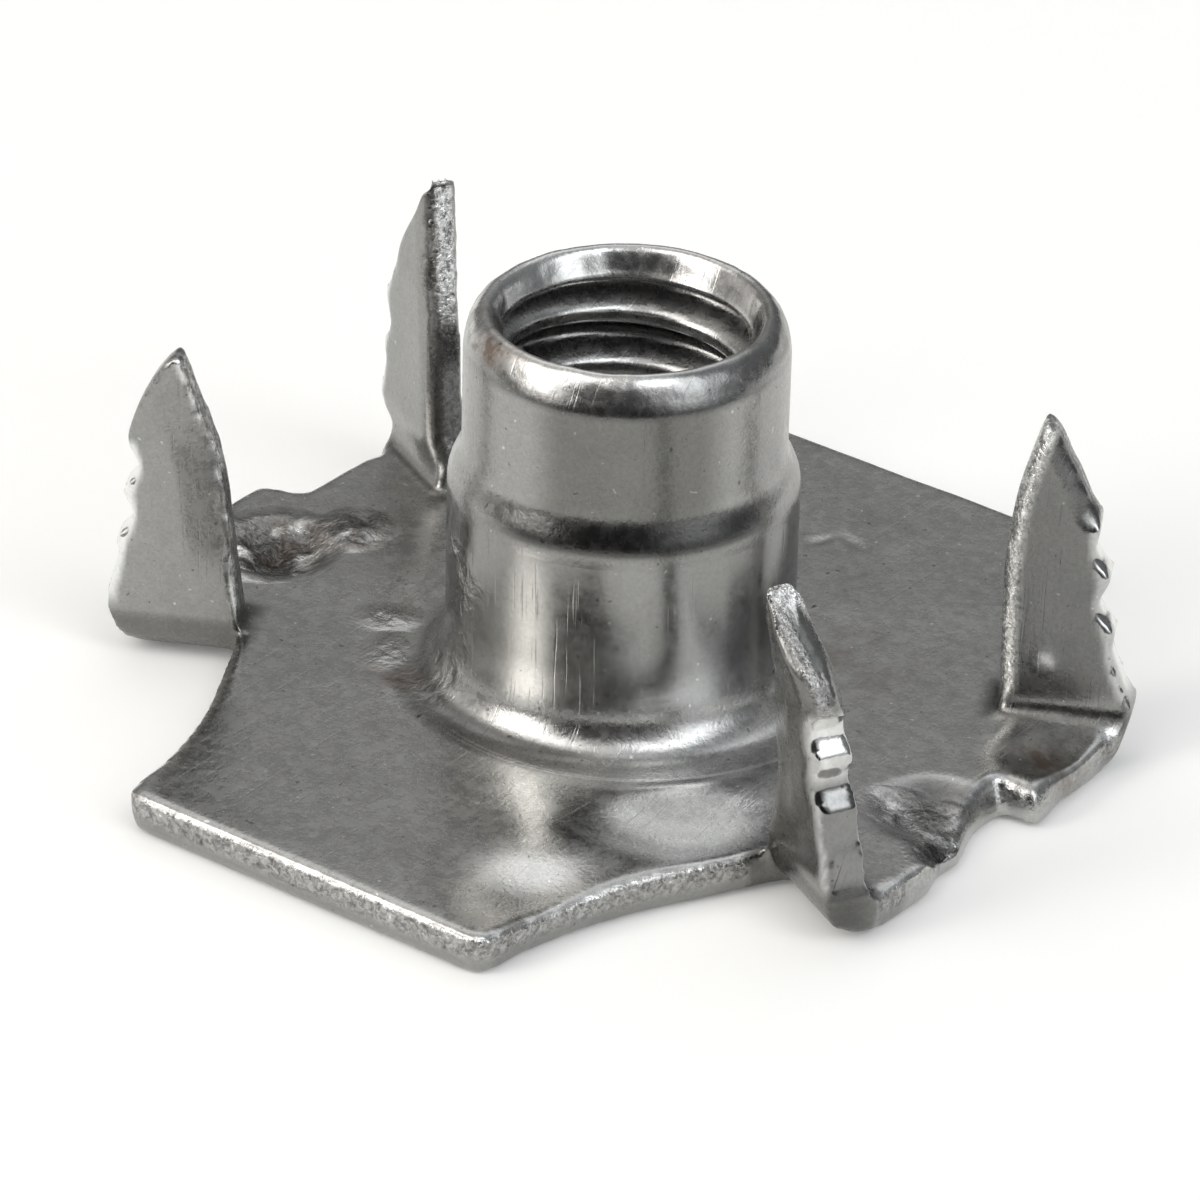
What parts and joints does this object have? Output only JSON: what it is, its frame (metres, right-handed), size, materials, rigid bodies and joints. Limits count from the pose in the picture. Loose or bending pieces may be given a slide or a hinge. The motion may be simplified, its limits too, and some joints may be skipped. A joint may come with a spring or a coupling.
{
  "type": "sliding t-nut",
  "caption": "Sheet steel tee nut: flat flange with straight parallel sides, barbed prongs folded up from it, and a drawn threaded barrel in the middle.",
  "frame": {"origin": "on the thread axis, at the flat underside of the flange", "axes": "+Z along the thread axis, from the flange towards the barrel's rim; +X along the two straight sides of the flange"},
  "size_m": [0.0214, 0.022, 0.0097],
  "materials": {
    "steel": "bright zinc-plated pressed steel, satin, with bare sheared edges"
  },
  "bodies": {
    "root": {"t_nut": "steel"}
  },
  "joints": []
}
